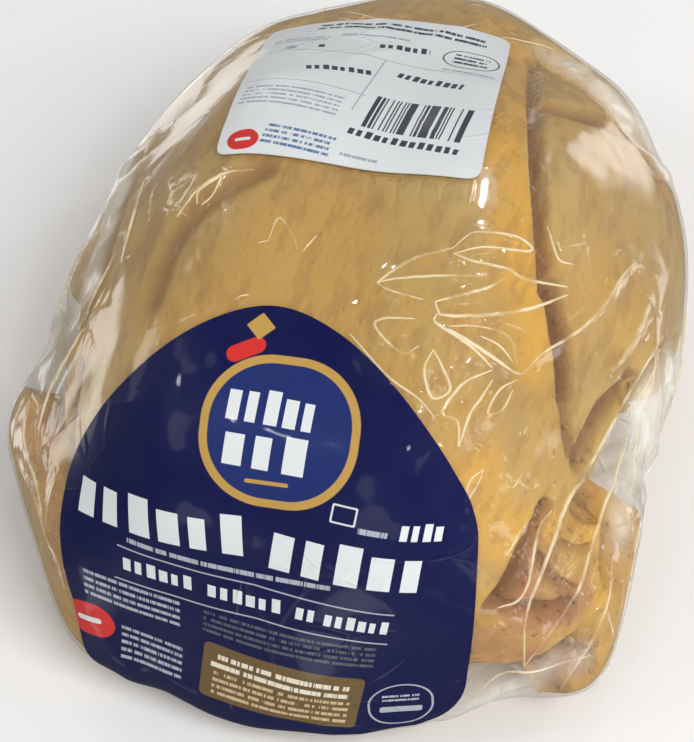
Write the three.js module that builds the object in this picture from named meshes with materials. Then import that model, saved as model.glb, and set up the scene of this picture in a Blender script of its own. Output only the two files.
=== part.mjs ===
// A whole raw chicken in a clear sealed bag. It lies on its back, breast up, with the neck end
// forward (-Y) and the tail end back (+Y). The bag and what fills it are one solid, because the
// film clings to the bird and bridges the hollows between its limbs. Two stuck-on labels follow
// the film. The bird's right side is at +X and its left side at -X. Millimetres, +Z up. The forms
// are placed from a point under the breast, and the last lines move the whole so that its origin
// is on the table under its middle.
import * as THREE from "three";
import { mergeVertices } from "three/addons/utils/BufferGeometryUtils.js";

// Driving dimensions of the bird
const BREAST_TOP = 110;
const BREAST_HALF_WIDTH = 61;
const BREAST_HALF_LENGTH = 76;
const BREAST_MIDDLE_Y = -7;

// Driving dimensions of the film
const FILM_BRIDGE = 0.82; // share of a hollow that the taut film spans, 1 being a full bridge
const SKIN_BLEND = 12; // width of the soft creases where limbs meet the body
const SKIRT_HALF_WIDTH = 64;
const SKIRT_HALF_LENGTH = 92.5;
const SKIRT_MIDDLE_Y = -8;
const SKIRT_TAPER = 0.14; // how much narrower the film's foot is at the tail end
const SKIRT_SQUARENESS = 2.6; // 2 makes an ellipse, more a squarer outline
const SKIRT_CUT_CORNER = 1.97; // the rounder corner beside the bird's right wing

// Driving dimensions of the labels
const LABEL_GAP = 0.8; // clear of the film's faceted surface
const LABEL_THICKNESS = 0.8;
const FRONT_LABEL = { width: 106, foot: 98, height: 122, corner: 20, straight: 68, fullness: 0.36 };
const WEIGHT_LABEL = { width: 64, height: 78, corner: 3 };

// The point that the whole outline can be seen from, inside the ribcage
const CORE = new THREE.Vector3(0, 0, 40);
const FURTHEST = 170;

// Forms of the bird. An egg is an ellipsoid, and a limb is a cone with round ends.
const egg = (middle, radii, yaw = 0, pitch = 0) => {
  const turn = new THREE.Matrix4().makeRotationFromEuler(new THREE.Euler(pitch, 0, yaw, "ZXY"));
  return {
    kind: "egg",
    place: turn.setPosition(...middle).invert(),
    radii: new THREE.Vector3(...radii),
  };
};
const limb = (start, startRadius, end, endRadius) => ({
  kind: "limb",
  start: new THREE.Vector3(...start),
  end: new THREE.Vector3(...end),
  startRadius,
  endRadius,
});

// Both sides of a paired form, the bird's left (-1) and right (+1)
const pair = (make) => [-1, 1].map(make);

const BREAST_APART = 24;
const BREAST_DEPTH = 49;
const breast = pair((side) =>
  egg(
    [side * BREAST_APART, BREAST_MIDDLE_Y, BREAST_TOP - BREAST_DEPTH],
    [BREAST_HALF_WIDTH - BREAST_APART, BREAST_HALF_LENGTH, BREAST_DEPTH],
    side * -0.04 - 0.04,
    -0.04,
  ),
);
const ribcage = egg([0, 2, 36], [51.5, 94, 38]);
const shoulders = egg([0, -54, 48.5], [52.5, 32.5, 48.5]);
const belly = egg([0, 59, 44.5], [46, 57, 39.5]);
const tail = limb([0, 80, 32], 19, [0, 96, 27], 10);
const thighs = pair((side) => egg([side * 55, 35, 36], [22, 48, 32], side * 0.1));
const drumsticks = pair((side) => limb([side * 57, 3, 55], 17, [side * 42, 73, 60], 13.5));

// The wings are folded: the upper wing runs out to the elbow, and the rest back in to the tip
const folded = (shoulder, elbow, tip) => [
  limb(shoulder, 16, elbow, 9.5),
  limb([elbow[0], elbow[1], elbow[2] - 2], 9.5, tip, 11.5),
];
const leftWing = folded([-48, -68, 46], [-71, -42.5, 43.5], [-47.5, -80, 17]);
const rightWing = folded([46, -62, 46], [66, -33, 32], [67, -63, 17]);

const BIRD = [
  ...breast, ribcage, shoulders, belly, tail,
  ...thighs, ...drumsticks, ...leftWing, ...rightWing,
];

// How far a point is outside one form, less than 0 inside
function distanceTo(form, point) {
  if (form.kind === "egg") {
    const scaled = point.clone().applyMatrix4(form.place).divide(form.radii);
    const share = scaled.length();
    const slope = scaled.divide(form.radii).length();
    return slope === 0 ? -Math.min(...form.radii.toArray()) : (share * (share - 1)) / slope;
  }
  const axis = form.end.clone().sub(form.start);
  const along = THREE.MathUtils.clamp(
    point.clone().sub(form.start).dot(axis) / axis.lengthSq(), 0, 1,
  );
  const nearest = form.start.clone().addScaledVector(axis, along);
  return point.distanceTo(nearest) - THREE.MathUtils.lerp(form.startRadius, form.endRadius, along);
}

// How far a point is outside the whole bird, its forms melted together over SKIN_BLEND
function distanceToBird(point) {
  let nearest = Infinity;
  for (const form of BIRD) {
    const d = distanceTo(form, point);
    const melt = Math.max(SKIN_BLEND - Math.abs(d - nearest), 0) / SKIN_BLEND;
    nearest = Math.min(d, nearest) - (melt * melt * SKIN_BLEND) / 4;
  }
  return nearest;
}

// Distance from CORE to the bird's skin along a direction, found from outside inwards
function skinReach(direction) {
  let reach = FURTHEST;
  for (let step = 0; step < 60; step++) {
    const gap = distanceToBird(CORE.clone().addScaledVector(direction, reach));
    if (gap < 0.02) break;
    reach -= gap * 0.9;
  }
  return reach;
}

// Where the film meets the table around the bird
function makeSkirt(points = 48) {
  return Array.from({ length: points }, (_, i) => {
    const angle = (i / points) * 2 * Math.PI;
    const [across, along] = [Math.cos(angle), Math.sin(angle)];
    const power = across > 0 && along < 0 ? SKIRT_CUT_CORNER : SKIRT_SQUARENESS;
    const reach = (Math.abs(across) ** power + Math.abs(along) ** power) ** (-1 / power);
    const narrowing = 1 - (SKIRT_TAPER * (1 + along * reach)) / 2;
    return new THREE.Vector3(
      across * reach * SKIRT_HALF_WIDTH * narrowing,
      along * reach * SKIRT_HALF_LENGTH + SKIRT_MIDDLE_Y,
      0,
    );
  });
}

// Directions spread over the sphere, taken from a subdivided icosahedron
function sphereOf(detail) {
  const geometry = new THREE.IcosahedronGeometry(1, detail);
  geometry.deleteAttribute("normal");
  geometry.deleteAttribute("uv");
  return mergeVertices(geometry, 1e-5);
}
function directionsOf(geometry) {
  const position = geometry.getAttribute("position");
  return Array.from({ length: position.count }, (_, i) =>
    new THREE.Vector3().fromBufferAttribute(position, i).normalize(),
  );
}

// The taut hull over bird and skirt, as planes: the furthest reach along each of many normals
const NORMALS = directionsOf(sphereOf(14));
const OUTER_POINTS = NORMALS.map((d) => d.clone().multiplyScalar(skinReach(d)))
  .concat(makeSkirt().map((point) => point.sub(CORE)));
const HULL = NORMALS.map((normal) => ({
  normal,
  furthest: OUTER_POINTS.reduce((most, point) => Math.max(most, normal.dot(point)), 0),
}));
function hullReach(direction) {
  let reach = Infinity;
  for (const { normal, furthest } of HULL) {
    const facing = normal.dot(direction);
    if (facing > 0.05) reach = Math.min(reach, furthest / facing);
  }
  return reach;
}

// The film's reach on a grid of directions whose poles are at the bird's sides, softened by
// averaging each sample with its neighbours
const GRID = { rings: 72, spokes: 144, softening: 5 };
function makeFilmGrid({ rings, spokes, softening }) {
  let grid = [];
  for (let ring = 0; ring <= rings; ring++) {
    const polar = (ring / rings) * Math.PI;
    const row = [];
    for (let spoke = 0; spoke < spokes; spoke++) {
      const around = (spoke / spokes) * 2 * Math.PI;
      const direction = new THREE.Vector3(
        Math.cos(polar),
        Math.sin(polar) * Math.cos(around),
        Math.sin(polar) * Math.sin(around),
      );
      const skin = skinReach(direction);
      const hull = Math.max(hullReach(direction), skin);
      row.push(THREE.MathUtils.lerp(skin, hull, FILM_BRIDGE));
    }
    grid.push(row);
  }
  for (let pass = 0; pass < softening; pass++) {
    grid = grid.map((row, ring) =>
      row.map((reach, spoke) => {
        const before = grid[Math.max(ring - 1, 0)][spoke];
        const after = grid[Math.min(ring + 1, rings)][spoke];
        const left = row[(spoke + spokes - 1) % spokes];
        const right = row[(spoke + 1) % spokes];
        return reach / 2 + (before + after + left + right) / 8;
      }),
    );
  }
  return grid;
}
const FILM = makeFilmGrid(GRID);

// Distance from CORE to the film along a direction. The film stops at the table.
function filmReach(direction) {
  const ring = (Math.acos(THREE.MathUtils.clamp(direction.x, -1, 1)) / Math.PI) * GRID.rings;
  const turns = Math.atan2(direction.z, direction.y) / (2 * Math.PI);
  const spoke = (turns < 0 ? turns + 1 : turns) * GRID.spokes;
  const row = Math.min(Math.floor(ring), GRID.rings - 1);
  const column = Math.floor(spoke) % GRID.spokes;
  const next = (column + 1) % GRID.spokes;
  const across = spoke - Math.floor(spoke);
  const film = THREE.MathUtils.lerp(
    THREE.MathUtils.lerp(FILM[row][column], FILM[row][next], across),
    THREE.MathUtils.lerp(FILM[row + 1][column], FILM[row + 1][next], across),
    ring - row,
  );
  const table = direction.z < 0 ? CORE.z / -direction.z : Infinity;
  return Math.min(film, table);
}

// The point that lies a given distance outside the film along a direction from CORE
function onFilm(direction, lift = 0) {
  return CORE.clone().addScaledVector(direction, filmReach(direction) + lift);
}

// The film's outward normal, measured over a small triangle around the direction
function filmNormal(direction, spread = 0.05) {
  const side = new THREE.Vector3(1, 0, 0).cross(direction).normalize();
  const other = direction.clone().cross(side);
  const corners = [0, 1, 2].map((i) => {
    const angle = (i / 3) * 2 * Math.PI;
    const corner = direction.clone()
      .addScaledVector(side, Math.cos(angle) * spread)
      .addScaledVector(other, Math.sin(angle) * spread);
    return onFilm(corner.normalize());
  });
  const edges = corners.slice(1).map((corner) => corner.sub(corners[0]));
  return edges[0].cross(edges[1]).normalize();
}

// Walks over the film from one direction, along a heading that starts tangent to it, and
// returns the directions reached after each of the given number of equal stages
function walk(start, heading, length, stages) {
  const stepsPerStage = Math.max(1, Math.ceil(length / stages / 1.5));
  const step = length / stages / stepsPerStage;
  const course = heading.clone();
  const reached = [];
  let direction = start.clone();
  for (let stage = 0; stage < stages; stage++) {
    for (let i = 0; i < stepsPerStage; i++) {
      direction = onFilm(direction).addScaledVector(course, step).sub(CORE).normalize();
      course.projectOnPlane(filmNormal(direction)).normalize();
    }
    reached.push(direction);
  }
  return reached;
}

function makeBag() {
  const geometry = sphereOf(15);
  const position = geometry.getAttribute("position");
  directionsOf(geometry).forEach((direction, i) => {
    const point = onFilm(direction);
    position.setXYZ(i, point.x, point.y, Math.max(point.z, 0));
  });
  return named("bag", geometry, { color: 0xcfae72, roughness: 0.25 });
}

// An arch with a round top and round lower corners, its middle at the origin. It narrows from
// its shoulders to its foot, and less fullness makes the top more pointed.
function archOutline({ width, foot, height, corner, straight, fullness }) {
  const [x, footX, top, bottom] = [width / 2, foot / 2, height / 2, -height / 2];
  const shoulder = bottom + straight;
  const rise = (top - shoulder) * fullness;
  const shape = new THREE.Shape();
  shape.moveTo(0, bottom);
  shape.lineTo(footX - corner, bottom);
  shape.quadraticCurveTo(footX, bottom, footX, bottom + corner);
  shape.lineTo(x, shoulder);
  shape.bezierCurveTo(x, shoulder + rise, x * fullness, top, 0, top);
  shape.bezierCurveTo(-x * fullness, top, -x, shoulder + rise, -x, shoulder);
  shape.lineTo(-footX, bottom + corner);
  shape.quadraticCurveTo(-footX, bottom, -footX + corner, bottom);
  shape.lineTo(0, bottom);
  return shape;
}

// A rectangle with slightly round corners, its middle at the origin
function cardOutline({ width, height, corner }) {
  const [x, y] = [width / 2, height / 2];
  const shape = new THREE.Shape();
  shape.moveTo(0, -y);
  shape.lineTo(x - corner, -y);
  shape.quadraticCurveTo(x, -y, x, -y + corner);
  shape.lineTo(x, y - corner);
  shape.quadraticCurveTo(x, y, x - corner, y);
  shape.lineTo(-x + corner, y);
  shape.quadraticCurveTo(-x, y, -x, y - corner);
  shape.lineTo(-x, -y + corner);
  shape.quadraticCurveTo(-x, -y, -x + corner, -y);
  shape.lineTo(0, -y);
  return shape;
}

// A thin label laid on the film. Its middle is under the point towards, its flat outline is
// turned by turn degrees, and every spoke from the middle keeps its length along the film.
function makeLabel(name, shape, { towards, turn, spokes, rings }, look) {
  const middle = new THREE.Vector3(...towards).sub(CORE).normalize();
  const normal = filmNormal(middle);
  const right = new THREE.Vector3(0, 1, 0).cross(normal).normalize();
  right.applyAxisAngle(normal, THREE.MathUtils.degToRad(turn));
  const up = normal.clone().cross(right);
  const grid = shape.getSpacedPoints(spokes).slice(0, spokes).map((rim) => {
    const heading = right.clone().multiplyScalar(rim.x).addScaledVector(up, rim.y).normalize();
    return walk(middle, heading, rim.length(), rings);
  });

  // Each face has the middle first and then the spokes' points, from the middle outwards
  const facePoints = 1 + spokes * rings;
  const index = (spoke, ring) => 1 + (spoke % spokes) * rings + ring;
  const positions = [];
  for (const lift of [LABEL_GAP + LABEL_THICKNESS, LABEL_GAP]) {
    for (const direction of [middle, ...grid.flat()]) {
      positions.push(...onFilm(direction, lift).toArray());
    }
  }
  const faces = [];
  const quad = (a, b, c, d) => faces.push(a, b, c, a, c, d);
  for (let spoke = 0; spoke < spokes; spoke++) {
    const [here, next] = [index(spoke, 0), index(spoke + 1, 0)];
    faces.push(0, here, next);
    faces.push(facePoints, facePoints + next, facePoints + here);
    for (let ring = 0; ring < rings - 1; ring++) {
      const [a, b] = [index(spoke, ring), index(spoke, ring + 1)];
      const [c, d] = [index(spoke + 1, ring + 1), index(spoke + 1, ring)];
      quad(a, b, c, d);
      quad(facePoints + d, facePoints + c, facePoints + b, facePoints + a);
    }
    const [edge, nextEdge] = [index(spoke, rings - 1), index(spoke + 1, rings - 1)];
    quad(edge, facePoints + edge, facePoints + nextEdge, nextEdge);
  }
  const geometry = new THREE.BufferGeometry();
  geometry.setAttribute("position", new THREE.Float32BufferAttribute(positions, 3));
  geometry.setIndex(faces);
  return named(name, geometry, look);
}

function named(name, geometry, look) {
  geometry.computeVertexNormals();
  const mesh = new THREE.Mesh(geometry, new THREE.MeshStandardMaterial(look));
  mesh.name = name;
  return mesh;
}

const model = new THREE.Group();
model.add(
  makeBag(),
  makeLabel(
    "front_label",
    archOutline(FRONT_LABEL),
    { towards: [-5, -85, 69], turn: -1, spokes: 64, rings: 9 },
    { color: 0x101848, roughness: 0.35 },
  ),
  makeLabel(
    "weight_label",
    cardOutline(WEIGHT_LABEL),
    { towards: [-8, 37, 98.5], turn: 3, spokes: 48, rings: 7 },
    { color: 0xe9ecee, roughness: 0.45 },
  ),
);

const middle = new THREE.Box3().setFromObject(model).getCenter(new THREE.Vector3());
model.position.set(-middle.x, -middle.y, 0);

export default model;
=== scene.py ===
import math
import random

import bpy
import numpy as np
from bpy.props import FloatProperty, FloatVectorProperty, IntProperty, PointerProperty
from mathutils import Matrix, Vector, kdtree, noise
from mathutils.bvhtree import BVHTree


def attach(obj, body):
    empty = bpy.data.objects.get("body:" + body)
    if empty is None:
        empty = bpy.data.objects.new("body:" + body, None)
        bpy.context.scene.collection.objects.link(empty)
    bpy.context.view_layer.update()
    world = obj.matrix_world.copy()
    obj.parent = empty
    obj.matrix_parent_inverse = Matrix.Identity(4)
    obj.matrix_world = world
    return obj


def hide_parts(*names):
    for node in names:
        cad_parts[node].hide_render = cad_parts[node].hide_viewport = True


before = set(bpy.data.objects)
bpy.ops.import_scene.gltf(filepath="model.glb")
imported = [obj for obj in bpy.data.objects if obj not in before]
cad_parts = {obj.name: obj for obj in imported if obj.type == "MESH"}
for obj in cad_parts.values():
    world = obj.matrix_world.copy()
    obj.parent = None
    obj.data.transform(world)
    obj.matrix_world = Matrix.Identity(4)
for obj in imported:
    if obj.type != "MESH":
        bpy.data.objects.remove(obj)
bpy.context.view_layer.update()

bl_info = {
    "name": "Bagged Raw Chicken",
    "version": (1, 0, 0),
    "blender": (4, 5, 0),
    "location": "View3D > Sidebar > Poultry",
    "description": "A whole raw chicken, breast up, in a clear sealed bag with two labels",
    "category": "Mesh",
}

MM = 0.001

# Places are in millimetres from a point on the table under the breast. ORIGIN is where that
# point lies in the frame, and CORE is the point inside the ribcage that the whole outline can
# be seen from.
ORIGIN = Vector((2.07, -9.09, 0.0))
CORE = (Vector((0.0, 0.0, 40.0)) + ORIGIN) * MM

# Forms of the bird, as (middle, radii, yaw, pitch) for an egg and (start, radius, end, radius)
# for a limb
RIGHT_BREAST_YAW = -0.08
BREAST_PITCH = -0.04
EGGS = (
    ((-24, -7, 61), (37, 76, 49), 0.0, BREAST_PITCH),
    ((24, -7, 61), (37, 76, 49), RIGHT_BREAST_YAW, BREAST_PITCH),
    ((0, -9, 61), (27, 75, 48.5), 0.0, BREAST_PITCH),
    ((0, 2, 36), (51.5, 94, 38), 0.0, 0.0),
    ((0, -54, 48.5), (52.5, 32.5, 48.5), 0.0, 0.0),
    ((0, 59, 44.5), (46, 57, 39.5), 0.0, 0.0),
    ((-52, 38, 36), (20, 43, 31), -0.1, 0.0),
    ((54, 43, 37), (21, 36, 31), 0.1, 0.0),
)
LIMBS = (
    ((0, 80, 32), 19, (0, 96, 27), 10),
    ((-57, 3, 55), 17, (-42, 73, 60), 13.5),
    ((57, 3, 55), 17, (42, 73, 60), 13.5),
    ((-48, -68, 46), 16, (-71, -42.5, 43.5), 9.5),
    ((-71, -42.5, 41.5), 9.5, (-47.5, -80, 17), 11.5),
    ((46, -62, 46), 16, (66, -33, 32), 9.5),
    ((66, -33, 30), 9.5, (67, -63, 17), 11.5),
)

# The view of the photo
PHOTO_WIDTH = 694
PHOTO_HEIGHT = 742
SENSOR = 36.0
FOCAL_PX = 2358.0
VIEW_AZIMUTH = math.radians(15.06)
VIEW_ELEVATION = math.radians(53.06)
VIEW_ROLL = math.radians(-1.1)
VIEW_DISTANCE = 0.5955
VIEW_TARGET = (Vector((0.0, -5.0, 46.0)) + ORIGIN) * MM
OFF_CENTRE_PX = (15.05, -19.74)

# Creases of the film, as (height in mm, points in the photo's pixels)
NET_CREASES = (
    (1.0, ((377, 283), (395, 271), (417, 259), (441, 252), (453, 248))),
    (0.8, ((453, 248), (468, 236), (480, 233), (516, 238), (529, 252), (484, 248), (456, 253))),
    (1.0, ((453, 253), (472, 262), (506, 270), (522, 280), (567, 287))),
    (0.8, ((377, 283), (395, 280), (441, 277), (488, 276))),
    (0.7, ((377, 283), (387, 290), (405, 296), (423, 300))),
    (1.0, ((435, 302), (464, 295), (488, 288), (506, 277))),
    (1.2, ((435, 302), (438, 311), (444, 316), (488, 316), (528, 309), (567, 295))),
    (1.2, ((437, 314), (435, 323), (460, 338), (488, 356), (512, 372), (522, 374))),
    (1.1, ((522, 374), (540, 354), (565, 338), (585, 323), (607, 299), (619, 279), (638, 257))),
    (0.8, ((438, 326), (468, 346), (492, 368))),
    (0.8, ((415, 319), (387, 319), (375, 324), (383, 338), (403, 354), (419, 346))),
    (0.6, ((449, 326), (480, 327), (508, 338), (516, 364))),
    (0.6, ((480, 336), (498, 346), (512, 362))),
    (0.9, ((433, 350), (424, 370), (431, 398), (449, 390), (441, 366), (433, 350))),
    (0.9, ((492, 370), (468, 380), (456, 390), (441, 413), (456, 421), (458, 447))),
    (0.8, ((458, 447), (468, 415), (480, 398), (492, 380))),
    (0.8, ((516, 380), (498, 390), (486, 413), (500, 410), (512, 390))),
    (0.7, ((350, 334), (387, 376), (419, 400), (438, 423))),
)
FLANK_CREASES = (
    (1.9, ((650, 300), (638, 326), (627, 346), (611, 372))),
    (0.7, ((547, 226), (553, 249), (559, 261), (575, 265))),
    (0.6, ((567, 247), (587, 243))),
    (1.2, ((664, 335), (640, 370), (610, 422), (581, 475), (563, 502), (549, 543), (534, 584),
           (528, 600), (524, 625), (524, 665))),
    (1.1, ((524, 665), (555, 623), (573, 596), (581, 576), (587, 551), (600, 510), (614, 471),
           (628, 420), (650, 372))),
    (0.9, ((497, 608), (522, 592), (536, 530), (551, 510))),
    (0.8, ((483, 469), (469, 481), (462, 504), (477, 483), (483, 469))),
    (0.8, ((528, 516), (516, 535), (506, 555))),
    (0.7, ((522, 471), (512, 488))),
    (0.9, ((655, 352), (644, 400), (634, 450), (628, 500))),
    (0.8, ((560, 690), (590, 640), (606, 600), (612, 560))),
    (0.8, ((470, 700), (500, 672), (540, 668), (590, 655))),
)
BREAST_CREASES = (
    (0.5, ((268, 241), (279, 219), (293, 237), (297, 250))),
    (0.5, ((317, 236), (303, 252))),
    (0.4, ((258, 243), (269, 241))),
    (0.4, ((238, 297), (249, 295))),
    (0.8, ((177, 217), (190, 201), (201, 189), (225, 175), (254, 170))),
    (0.7, ((197, 204), (199, 193), (214, 182), (222, 179), (212, 197), (201, 205))),
    (0.5, ((169, 180), (172, 193))),
)
LEFT_CREASES = (
    (1.0, ((88, 324), (68, 361), (52, 392), (38, 430))),
    (0.9, ((118, 250), (100, 290), (80, 330))),
    (0.9, ((145, 180), (132, 230), (122, 262))),
    (0.9, ((30, 400), (26, 440), (40, 490), (45, 535))),
    (0.8, ((45, 535), (38, 500), (22, 470))),
    (0.8, ((45, 535), (58, 560), (66, 590))),
    (0.7, ((58, 470), (50, 500), (45, 535))),
)
SEEN_CREASES = NET_CREASES + FLANK_CREASES + BREAST_CREASES + LEFT_CREASES

# Folds of the bird's skin, as (depth and half width in mm, points in the photo's pixels)
# A fold's depth also sets how much painted shade lies in it
SKIN_GROOVES = (
    (4.5, 3.2, ((534, 60), (537, 120), (539, 160), (541, 200), (544, 240), (546, 290))),
    (7.0, 4.8, ((553, 290), (560, 325), (565, 360), (567, 395))),
    (4.0, 3.2, ((566, 395), (568, 425), (572, 450))),
    (5.0, 4.0, ((550, 106), (582, 114), (612, 122), (632, 140), (652, 166), (668, 196))),
    (5.0, 4.5, ((672, 338), (640, 375), (618, 398), (598, 420), (580, 460))),
    (6.0, 4.0, ((545, 512), (528, 550), (512, 585), (494, 610))),
    (5.0, 3.2, ((494, 612), (520, 610), (548, 612), (572, 608))),
    (3.5, 2.5, ((540, 560), (552, 580), (572, 592))),
    (2.5, 2.0, ((562, 545), (578, 552), (592, 548))),
    (2.5, 6.0, ((262, 165), (225, 185), (190, 215), (165, 255), (150, 300))),
    (3.0, 4.0, ((78, 372), (70, 420), (72, 470), (80, 520))),
)

# Pockets of the bag with no flesh behind the film, given like the folds
EMPTY_POCKETS = (
    (24, 12, ((572, 62), (610, 92), (642, 130), (664, 168))),
    (24, 11, ((668, 372), (645, 412), (624, 448))),
    (20, 8.5, ((626, 470), (622, 520), (619, 560))),
    (19, 8, ((134, 150), (115, 205), (100, 258), (86, 308), (62, 345))),
    (16, 7, ((470, 692), (520, 684), (575, 672))),
)

# Where the film lies nearer to the skin than the first of these, it clings to it. Past the
# second, the skin stays as it is, or the film hangs loose.
CLINGS = (5 * MM, 20 * MM)
HANGS_LOOSE = (8 * MM, 18 * MM)

# Lowest place of the skin over the table
SKIN_FLOOR = 0.8 * MM

# The film starts as a cube round the bag, in m, with this many cuts along each side
FILM_START = 0.4
FILM_CUTS = 126
FILM_SMOOTHING = 30
SKIN_SMOOTHING = 26
UNSEEN_CREASES = 70

# Small lamps in a ring round the object, as (degrees round from the front, height in m)
SPARK_RING = 0.9
SPARKS = ((-62, 0.95), (-20, 1.25), (35, 1.1), (72, 0.75), (120, 0.95), (172, 0.85), (-135, 1.0))

# Patches of the bird's skin, as (attribute, radius in mm, strength, points in the photo's pixels)
SKIN_PATCHES = (
    ("fat", 9, 1.0, ((500, 25), (505, 80), (508, 150), (520, 220), (528, 290), (540, 350))),
    ("fat", 9, 0.8, ((480, 480), (500, 530), (560, 520), (600, 520))),
    ("flesh", 8, 1.0, ((538, 560), (525, 605), (560, 600), (578, 600))),
    ("flesh", 10, 0.7, ((480, 650), (520, 660), (560, 650))),
    ("flesh", 10, 0.6, ((30, 440), (45, 500), (60, 560))),
    ("dull", 24, 0.4, ((200, 90), (190, 160), (180, 240))),
    ("fat", 8, 0.9, ((588, 498), (596, 545), (600, 590))),
)


# Settings


def colour_setting(name, description, default):
    return FloatVectorProperty(
        name=name, description=description, default=default, subtype="COLOR",
    )


def length_setting(name, description, default):
    return FloatProperty(name=name, description=description, default=default, unit="LENGTH")


def share_setting(name, description, default):
    return FloatProperty(
        name=name, description=description, default=default, min=0.0, max=1.0, subtype="FACTOR",
    )


def power_setting(name, description, default):
    return FloatProperty(name=name, description=description, default=default, unit="POWER")


class BirdSettings(bpy.types.PropertyGroup):
    voxel: length_setting("Skin detail", "Size of the skin's mesh cells", 1.25 * MM)
    clearance: length_setting("Clearance", "How far the skin stays inside the film", 0.7 * MM)
    skin: colour_setting("Skin", "Colour of the skin", (0.50, 0.285, 0.058))
    pale: colour_setting(
        "Pale skin", "Colour of the thin, pale patches of skin", (0.50, 0.328, 0.10),
    )
    thin: colour_setting(
        "Thin skin", "Colour where meat shows through the skin", (0.40, 0.226, 0.058),
    )
    fat: colour_setting("Fat", "Colour of the yellow fat under the skin", (0.66, 0.35, 0.045))
    dull: colour_setting(
        "Dull skin", "Colour of the greyish skin over the thigh", (0.33, 0.21, 0.075),
    )
    flesh: colour_setting("Flesh", "Colour of the thin skin over dark meat", (0.42, 0.165, 0.075))
    # Painted shade: this dark colour is laid over the skin in folds, shut-in spots and small
    # puckers, where shade falls
    painted_shade: colour_setting("Hollow", "Colour in the folds between limbs", (0.25, 0.105, 0.028))


class FilmSettings(bpy.types.PropertyGroup):
    tint: colour_setting("Haze colour", "Colour of the film's haze", (0.90, 0.87, 0.78))
    fold: colour_setting(
        "Fold colour", "Colour of the doubled film along a fold", (0.93, 0.80, 0.53),
    )
    haze: share_setting("Haze", "Share of light that the clinging film scatters", 0.03)
    loose_haze: share_setting("Loose haze", "Share of light that loose film scatters", 0.56)
    crease_width: length_setting("Crease width", "Half the width of a crease's foot", 4.5 * MM)
    crest: length_setting("Crest radius", "Radius of the bright fold along a crease", 0.43 * MM)
    seed: IntProperty(name="Seed", description="Seed of the unseen creases", default=7)


class LabelSettings(bpy.types.PropertyGroup):
    lift: length_setting("Lift", "How far the labels lie off the film", 0.25 * MM)
    thickness: length_setting("Thickness", "Thickness of the labels", 0.25 * MM)
    blue: colour_setting("Blue", "Ground of the front label", (0.003, 0.005, 0.06))
    gold: colour_setting("Gold", "Gold print", (0.50, 0.30, 0.075))
    white: colour_setting("White", "White print and ground", (0.72, 0.74, 0.75))
    red: colour_setting("Red", "Red print", (0.62, 0.03, 0.025))
    ink: colour_setting("Ink", "Dark print on the white label", (0.05, 0.055, 0.07))


class StageSettings(bpy.types.PropertyGroup):
    floor: colour_setting("Floor", "Colour of the floor", (0.93, 0.93, 0.93))
    sky: FloatProperty(
        name="Surrounding light", description="Strength of the even light all round", default=0.56,
    )
    room: FloatProperty(
        name="Mirrored room", description="Strength of the room that gloss mirrors", default=0.16,
    )
    windows: FloatProperty(
        name="Mirrored windows", description="Strength of the windows that gloss mirrors",
        default=3.0,
    )
    key: power_setting("Key light", "Power of the large soft light", 8.0)
    spark: power_setting("Small lights", "Power of each small light that the film mirrors", 0.55)


# Meshes


def deselect_all():
    for item in bpy.context.selected_objects:
        item.select_set(False)


def take(piece):
    """Selects one piece alone and makes it the active one."""
    deselect_all()
    piece.select_set(True)
    bpy.context.view_layer.objects.active = piece


def added(name):
    """The object that an operator has just added, under its own name."""
    piece = bpy.context.active_object
    piece.name = name
    piece.data.name = name
    return piece


def apply_modifier(piece, kind, **settings):
    modifier = piece.modifiers.new(kind.title(), kind)
    for key, value in settings.items():
        setattr(modifier, key, value)
    take(piece)
    bpy.ops.object.modifier_apply(modifier=modifier.name)


def apply_place(piece):
    take(piece)
    bpy.ops.object.transform_apply(location=True, rotation=True, scale=True)


def join(pieces, name):
    deselect_all()
    for piece in pieces:
        piece.select_set(True)
    bpy.context.view_layer.objects.active = pieces[0]
    bpy.ops.object.join()
    return added(name)


def points_of(piece):
    co = np.empty(len(piece.data.vertices) * 3)
    piece.data.vertices.foreach_get("co", co)
    return co.reshape(-1, 3)


def normals_of(piece):
    normal = np.empty(len(piece.data.vertices) * 3)
    piece.data.vertices.foreach_get("normal", normal)
    return normal.reshape(-1, 3)


def move_points(piece, co):
    piece.data.vertices.foreach_set("co", co.ravel())
    piece.data.update()


def paint(piece, name, values):
    """Writes a share for each vertex, which a material reads by its name."""
    attribute = piece.data.attributes.new(name, "FLOAT", "POINT")
    attribute.data.foreach_set("value", np.asarray(values, np.float32))


def evened(piece, values, rounds):
    """Shares of the vertices, each evened out with those of its neighbours."""
    edges = np.empty(len(piece.data.edges) * 2, np.int32)
    piece.data.edges.foreach_get("vertices", edges)
    first, second = edges.reshape(-1, 2).T
    count = np.bincount(edges, minlength=len(values))
    for _ in range(rounds):
        total = np.bincount(first, values[second], len(values))
        total += np.bincount(second, values[first], len(values))
        values = 0.5 * (values + total / count)
    return values


def noise_at(co, scale):
    """Soft noise at each point, with one scale or one for each axis."""
    return np.array([noise.noise(Vector(point)) for point in co * scale])


def index_of(points):
    index = kdtree.KDTree(len(points))
    for i, point in enumerate(points):
        index.insert(point, i)
    index.balance()
    return index


def distances(co, points):
    """How far each vertex is from the nearest of some points."""
    index = index_of(points)
    return np.array([index.find(place)[2] for place in co])


def smooth_shade(piece):
    take(piece)
    bpy.ops.object.shade_smooth()


def tree_of(piece):
    mesh = piece.data
    return BVHTree.FromPolygons(
        [vertex.co for vertex in mesh.vertices], [face.vertices for face in mesh.polygons],
    )


def smoothstep(low, high, value):
    share = np.clip((value - low) / (high - low), 0.0, 1.0)
    return share * share * (3 - 2 * share)


# The photo's camera


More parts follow.
